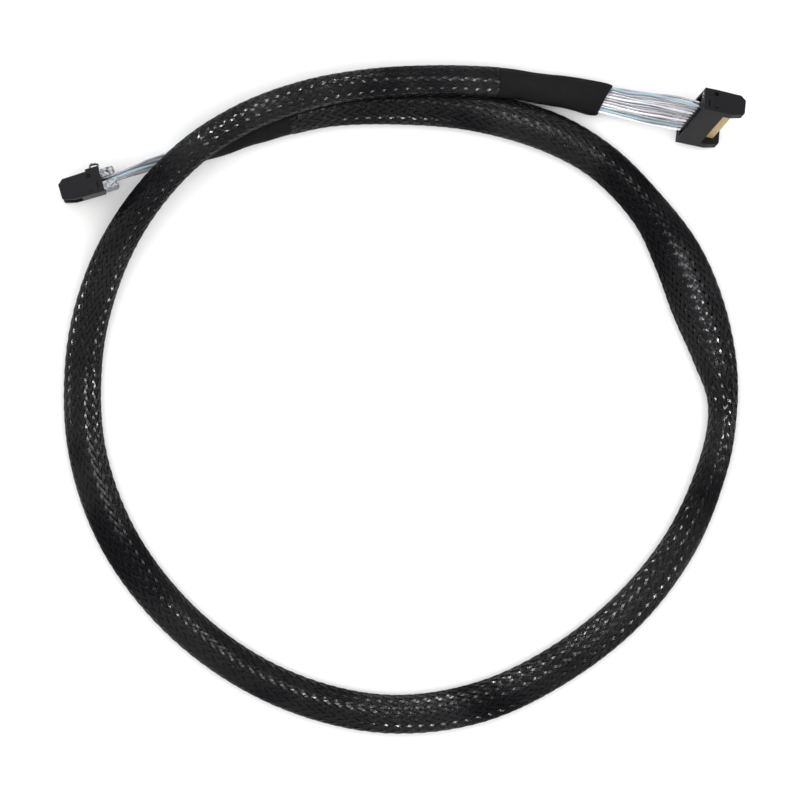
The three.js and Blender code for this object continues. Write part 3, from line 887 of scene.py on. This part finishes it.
def wire_piece(name, k, layer, diameter, seed):
    """A pair in its film, or a single wire, with a gentle sway in the fans."""
    parts = [
        places_between(0, FIRST_SHRINK, FAN_STEP)[0][:-1],
        places_between(FIRST_SHRINK, LAST_SHRINK, SLEEVE_STEP)[0][:-1],
        places_between(LAST_SHRINK, len(STATIONS) - 1, FAN_STEP)[0],
    ]
    places = np.concatenate(parts)
    at, left, up = route_at(places)
    off_left, off_up, roll = wire_offsets(k, layer, places)
    wander_left, wander_up = wire_wander(places, seed)
    line = at + left * (off_left + wander_left)[:, None] + up * (off_up + wander_up)[:, None]
    is_pair = name.startswith("pair")
    sides = 12 if is_pair else 10
    angles = np.arange(sides) / sides * math.tau
    waist = PAIR_WAIST if is_pair else 0.0
    radius = diameter / 2 * (1 + waist * (np.cos(2 * angles) - 1) / 2)
    rings = []
    for index, point in enumerate(line):
        turned = angles + roll[index]
        sideways = np.outer(radius * np.cos(turned), left[index])
        rings.append(point + sideways + np.outer(radius * np.sin(turned), up[index]))
    piece = tube(name, rings)
    run = np.concatenate([[0], np.cumsum(np.linalg.norm(np.diff(line, axis=0), axis=1))])
    nearer = np.minimum(run, run[-1] - run)
    piece.data.attributes.new("from_end", "FLOAT", "POINT").data.foreach_set(
        "value", np.repeat(nearer, sides).astype(np.float32)
    )
    return piece, line


class CABLE_OT_wires(bpy.types.Operator):
    """Lays the foil pairs and the blue sideband wires from comb to comb"""

    bl_idname = "cable.wires"
    bl_label = "Lay the wires"

    def execute(self, context):
        sizes, colours = context.scene.cable_sizes, context.scene.cable_colours
        finishes = [
            wire_finish("Bright foil pair", scaled(colours.foil, 1.35), 0.25, 0.12),
            wire_finish("Grey foil pair", scaled(colours.foil, 0.65), 0.45, 0.25),
            wire_finish("Mauve foil pair", (0.50, 0.48, 0.52), 0.3, 0.18),
        ]
        blue = wire_finish("Sideband jacket", colours.sideband, 0.0, 0.12)
        pair_count = sideband_count = 0
        for layer, places in enumerate(SIDEBAND_PLACES):
            for k in range(WIRES_PER_LAYER):
                if k in places:
                    sideband_count += 1
                    name, node = f"sideband_{sideband_count:02d}", f"sideband_wire_{sideband_count:02d}"
                    material, slot = blue, "sideband_jacket"
                else:
                    pair_count += 1
                    name, node = f"pair_{pair_count:02d}", f"twinax_pair_{pair_count:02d}"
                    material, slot = finishes[(k * 2 + layer) % len(finishes)], "pair_jacket"
                seed = layer * WIRES_PER_LAYER + k
                piece, line = wire_piece(name, k, layer, sizes.wire_diameter, seed)
                finish_piece(piece, material, [node])
        return {"FINISHED"}


# Plugs

MERGE_DISTANCE = 0.002 * MM
FLAT_ANGLE = math.radians(1)
SHARP_ANGLE = math.radians(28)


def rounded_copy(node, name, width, segments):
    """A merged copy of a solid with its sharp edges rounded."""
    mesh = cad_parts[node].data.copy()
    work = bmesh.new()
    work.from_mesh(mesh)
    bmesh.ops.remove_doubles(work, verts=work.verts, dist=MERGE_DISTANCE)
    bmesh.ops.dissolve_limit(work, angle_limit=FLAT_ANGLE, verts=work.verts, edges=work.edges)
    work.to_mesh(mesh)
    work.free()
    mesh.name = name
    obj = bpy.data.objects.new(name, mesh)
    bpy.context.scene.collection.objects.link(obj)
    for face in mesh.polygons:
        face.use_smooth = False
    bevel = obj.modifiers.new("rounding", "BEVEL")
    bevel.width = width
    bevel.segments = segments
    bevel.limit_method = "ANGLE"
    bevel.angle_limit = SHARP_ANGLE
    bevel.use_clamp_overlap = True
    bevel.harden_normals = False
    evaluated = obj.evaluated_get(bpy.context.evaluated_depsgraph_get())
    rounded = bpy.data.meshes.new_from_object(evaluated)
    bpy.data.objects.remove(obj)
    rounded.name = name
    made = bpy.data.objects.new(name, rounded)
    bpy.context.scene.collection.objects.link(made)
    return made


def pad_tree():
    """Rows of flat pads on both faces of a card."""
    maker = TreeMaker("Contact pads", (
        ("Pads", "NodeSocketInt", 37),
        ("Pitch", "NodeSocketFloat", 0.0006),
        ("Pad width", "NodeSocketFloat", 0.00036),
        ("Pad length", "NodeSocketFloat", 0.004),
        ("Pad middle", "NodeSocketFloat", 0.01),
        ("Depth", "NodeSocketFloat", 0.0011),
        ("Height", "NodeSocketFloat", 0.003),
        ("Material", "NodeSocketMaterial", None),
    ))
    last = maker.math("SUBTRACT", maker.given("Pads"), 1)
    start = maker.math("MULTIPLY", maker.math("MULTIPLY", last, maker.given("Pitch")), -0.5)
    first = maker.node("ShaderNodeCombineXYZ", {
        "X": maker.given("Pad middle"), "Y": maker.given("Height"), "Z": start,
    })
    step = maker.node("ShaderNodeCombineXYZ", {"Z": maker.given("Pitch")})
    row = maker.node("GeometryNodeMeshLine", {
        "Count": maker.given("Pads"), "Start Location": first.outputs[0], "Offset": step.outputs[0],
    })
    size = maker.node("ShaderNodeCombineXYZ", {
        "X": maker.given("Pad length"), "Y": maker.given("Depth"), "Z": maker.given("Pad width"),
    })
    pad = maker.node("GeometryNodeMeshCube", {"Size": size.outputs[0]})
    pads = maker.node("GeometryNodeInstanceOnPoints", {"Points": row.outputs[0], "Instance": pad.outputs[0]})
    maker.finish(pads.outputs[0])
    return maker


def place_in_plug(mesh, entry, axes):
    """Takes a mesh from a plug's own axes to the cable's place, in metres."""
    corner = (np.array(entry) - np.array([*BOX_MIDDLE, 0]) - axes[:, 1] * WIRE_ENTRY_HEIGHT) * MM
    points = np.empty(len(mesh.vertices) * 3, np.float32)
    mesh.vertices.foreach_get("co", points)
    moved = points.reshape(-1, 3) @ axes.T + corner
    mesh.vertices.foreach_set("co", moved.astype(np.float32).ravel())
    mesh.update()


def paddle_card(side, entry, axes, laminate, gold, maker):
    """A bevelled card with gold pads on both faces."""
    bevel_start = CARD_REACH - CARD_BEVEL
    outline = [
        (CARD_REAR, CARD_LOW), (bevel_start, CARD_LOW), (CARD_REACH, CARD_LOW + CARD_BEVEL),
        (CARD_REACH, CARD_HIGH - CARD_BEVEL), (bevel_start, CARD_HIGH), (CARD_REAR, CARD_HIGH),
    ]
    count = len(outline)
    half = CARD_HALF_WIDTH
    vertices = [(x * MM, y * MM, z * MM) for z in (-half, half) for x, y in outline]
    faces = [tuple(reversed(range(count))), tuple(range(count, 2 * count))]
    faces += [(i, (i + 1) % count, count + (i + 1) % count, count + i) for i in range(count)]
    card = mesh_object(f"{side}_card", vertices, faces)
    card.data.shade_flat()
    guide = mesh_object(f"{side}_pads", vertices, faces)
    pad_front = bevel_start - PAD_MARGIN
    pads = run_tree(guide, maker, {
        "Pads": PAD_COUNT,
        "Pitch": PAD_PITCH * MM,
        "Pad width": PAD_WIDTH * MM,
        "Pad length": (pad_front - PAD_REAR) * MM,
        "Pad middle": (pad_front + PAD_REAR) / 2 * MM,
        "Depth": (CARD_HIGH - CARD_LOW + 2 * PAD_RISE) * MM,
        "Height": (CARD_LOW + CARD_HIGH) / 2 * MM,
        "Material": gold,
    })
    pads.data.shade_flat()
    for piece, material in ((card, laminate), (pads, gold)):
        place_in_plug(piece.data, entry, axes)
        finish_piece(piece, material, [f"{side}_paddle_card"])


class CABLE_OT_plugs(bpy.types.Operator):
    """Rounds and finishes the moulded and pressed pieces of both plugs"""

    bl_idname = "cable.plugs"
    bl_label = "Finish the plugs"

    def execute(self, context):
        sizes, colours = context.scene.cable_sizes, context.scene.cable_colours
        plastic = housing_finish("Housing plastic", colours.housing)
        comb = housing_finish("Comb plastic", colours.comb)
        laminate = card_finish("Card laminate", colours.laminate, 0.1)
        gold = card_finish("Plated pads", colours.gold, 0.6)
        steel = steel_finish(colours.steel)
        rows = [
            ("left_housing", "left_shell", sizes.plug_bevel, 3, plastic, "housing_plastic"),
            ("right_housing", "right_shell", sizes.plug_bevel, 3, plastic, "housing_plastic"),
            ("left_wire_comb", "left_comb", sizes.sheet_bevel, 2, comb, "comb_plastic"),
            ("right_wire_comb", "right_comb", sizes.sheet_bevel, 2, comb, "comb_plastic"),
            ("left_latch_spring", "left_latch", sizes.sheet_bevel, 2, steel, "spring_steel"),
            ("left_upper_bracket", "left_upper_plate", sizes.sheet_bevel, 2, steel, "spring_steel"),
            ("left_lower_bracket", "left_lower_plate", sizes.sheet_bevel, 2, steel, "spring_steel"),
            ("right_near_clip", "right_near_spring", sizes.sheet_bevel, 2, steel, "spring_steel"),
            ("right_far_clip", "right_far_spring", sizes.sheet_bevel, 2, steel, "spring_steel"),
        ]
        for node, name, width, segments, material, slot in rows:
            piece = rounded_copy(node, name, width, segments)
            finish_piece(piece, material, [node])
        maker = pad_tree()
        paddle_card("left", LEFT_ENTRY, LEFT_AXES, laminate, gold, maker)
        paddle_card("right", RIGHT_ENTRY, RIGHT_AXES, laminate, gold, maker)
        return {"FINISHED"}


# Stage

class CABLE_OT_stage(bpy.types.Operator):
    """Sets the floor, lamps, sky and camera"""

    bl_idname = "cable.stage"
    bl_label = "Set the stage"

    def execute(self, context):
        stage, colours = context.scene.cable_stage, context.scene.cable_colours
        make_floor(colours.floor)
        make_camera(stage)
        make_lamps(stage)
        make_sky(stage.sky_strength)
        context.scene.view_settings.view_transform = "Standard"
        return {"FINISHED"}


def make_floor(colour):
    """A wide plain floor that the cable lies on, which keeps its shadow."""
    half = 4.0
    corners = [(-half, -half, 0), (half, -half, 0), (half, half, 0), (-half, half, 0)]
    floor = mesh_object("floor", corners, [(0, 1, 2, 3)])
    material, _, _ = new_material("Floor", colour, 0.9)
    floor.data.materials.append(material)


def make_camera(stage):
    """A long lens high over the loop, a little to one side, as the photo was taken."""
    data = bpy.data.cameras.new("camera")
    camera = bpy.data.objects.new("camera", data)
    bpy.context.scene.collection.objects.link(camera)
    drop = stage.camera_height - CABLE_MIDDLE_HEIGHT * MM
    data.lens = data.sensor_width * math.hypot(drop, stage.camera_side) / stage.view_width
    middle_x, middle_y = (part * MM for part in PICTURE_MIDDLE)
    camera.location = (middle_x - stage.camera_side, middle_y, stage.camera_height)
    camera.rotation_euler = (0, -math.atan2(stage.camera_side, drop), 0)
    bpy.context.scene.camera = camera


def area_lamp(name, place, size, power, glint=False):
    """A rectangular lamp that faces the cable and lights either its colours or its gloss."""
    data = bpy.data.lights.new(name, "AREA")
    data.shape = "RECTANGLE"
    data.size, data.size_y = size
    data.energy = power
    lamp = bpy.data.objects.new(name, data)
    bpy.context.scene.collection.objects.link(lamp)
    lamp.location = place
    lamp.rotation_euler = (-Vector(place)).to_track_quat("-Z", "Y").to_euler()
    lamp.visible_diffuse = not glint
    lamp.visible_glossy = glint
    return lamp


# Glint lamps: distance and size in metres, then azimuth, elevation and share of the glint power
GLINT_REACH = 1.4
GLINT_SIZE = 0.06
GLINTS = (
    (97, 48, 0.9), (8, 48, 0.9), (84, 68, 0.6), (22, 68, 0.6), (104, 27, 1.1), (2, 27, 1.1),
    (130, 40, 0.7), (-30, 40, 0.7), (170, 30, 0.8), (-75, 30, 0.7), (60, 80, 0.4),
)


def make_lamps(stage):
    """A wide soft lamp overhead, and small ones that draw the glints on the filaments."""
    area_lamp("soft_top", (-0.1, 0.1, 2.0), (2.6, 2.6), stage.key_power)
    for index, (azimuth, elevation, share) in enumerate(GLINTS):
        a, e = math.radians(azimuth), math.radians(elevation)
        heading = (math.cos(a) * math.cos(e), math.sin(a) * math.cos(e), math.sin(e))
        place = [GLINT_REACH * part for part in heading]
        power = stage.glint_power * share
        area_lamp(f"glint_{index}", place, (GLINT_SIZE, GLINT_SIZE), power, glint=True)


def make_sky(strength):
    """Even white light from all round."""
    world = bpy.data.worlds.new("sky")
    world.use_nodes = True
    background = world.node_tree.nodes["Background"]
    background.inputs["Color"].default_value = (1, 1, 1, 1)
    background.inputs["Strength"].default_value = strength
    bpy.context.scene.world = world


# Sidebar and start

OPERATORS = (CABLE_OT_plugs, CABLE_OT_shrinks, CABLE_OT_sleeve, CABLE_OT_wires, CABLE_OT_stage)


class CABLE_PT_panel(bpy.types.Panel):
    """Lists the cable's pieces, sizes and colours"""

    bl_label = "Data Cable"
    bl_space_type = "VIEW_3D"
    bl_region_type = "UI"
    bl_category = "Cable"

    def draw(self, context):
        layout = self.layout
        for operator in OPERATORS:
            layout.operator(operator.bl_idname)
        for group in (context.scene.cable_sizes, context.scene.cable_colours, context.scene.cable_stage):
            box = layout.box()
            for name in group.bl_rna.properties.keys():
                if name not in ("rna_type", "name"):
                    box.prop(group, name)


CLASSES = (CableSizes, CableColours, StageSettings, *OPERATORS, CABLE_PT_panel)


def register():
    """Registers the classes and hangs the settings on the scene."""
    for cls in CLASSES:
        bpy.utils.register_class(cls)
    bpy.types.Scene.cable_sizes = PointerProperty(type=CableSizes)
    bpy.types.Scene.cable_colours = PointerProperty(type=CableColours)
    bpy.types.Scene.cable_stage = PointerProperty(type=StageSettings)


def unregister():
    """Takes the settings and the classes away."""
    del bpy.types.Scene.cable_stage
    del bpy.types.Scene.cable_colours
    del bpy.types.Scene.cable_sizes
    for cls in reversed(CLASSES):
        bpy.utils.unregister_class(cls)


def main():
    """Builds the cable."""
    register()
    bpy.ops.cable.plugs()
    bpy.ops.cable.shrinks()
    bpy.ops.cable.sleeve()
    bpy.ops.cable.wires()
    bpy.ops.cable.stage()


if __name__ == "__main__":
    main()
